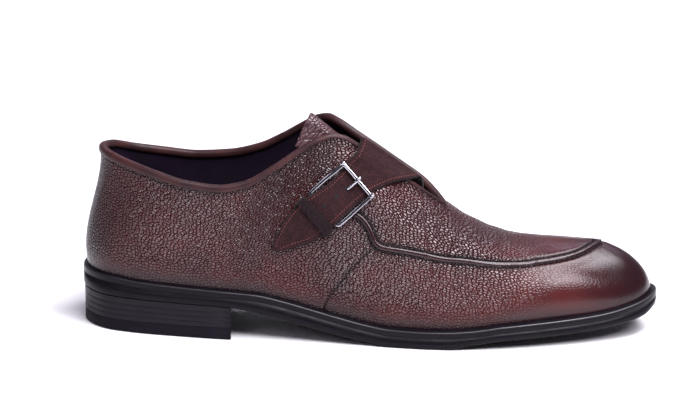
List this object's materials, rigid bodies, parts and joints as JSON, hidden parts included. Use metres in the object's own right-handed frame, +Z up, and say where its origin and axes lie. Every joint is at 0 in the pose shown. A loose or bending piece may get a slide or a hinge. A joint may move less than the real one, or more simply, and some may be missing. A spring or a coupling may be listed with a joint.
{
  "type": "monk strap shoe",
  "caption": "Right monk strap shoe with an apron toe, a suede buckled strap, an open collar and a low stacked heel.",
  "frame": {"origin": "centre of the bounding box in plan, on the ground plane under the heel and tread", "axes": "+X from heel to toe, +Y to the inner (medial) side, +Z up"},
  "size_m": [0.303, 0.1032, 0.1151],
  "materials": {
    "heel_rubber": "matt black rubber",
    "edge_finish": "black burnished edge with a slight sheen",
    "lining_black": "smooth black lining",
    "grained_leather": "pebble grained burgundy leather, darker at the toe",
    "binding_leather": "smooth brown folded edge",
    "tongue_leather": "pebble grained burgundy leather",
    "suede": "dark brown suede",
    "buckle_metal": "polished"
  },
  "bodies": {
    "root": {"heel_top_lift": "heel_rubber", "heel_stack": "edge_finish", "outsole": "edge_finish", "welt": "edge_finish", "insole": "lining_black", "upper": "grained_leather", "collar_binding": "binding_leather", "apron_seam": "grained_leather", "tongue": "tongue_leather", "strap": "suede", "strap_keeper": "suede", "buckle_frame": "buckle_metal", "buckle_prong": "buckle_metal"}
  },
  "joints": []
}
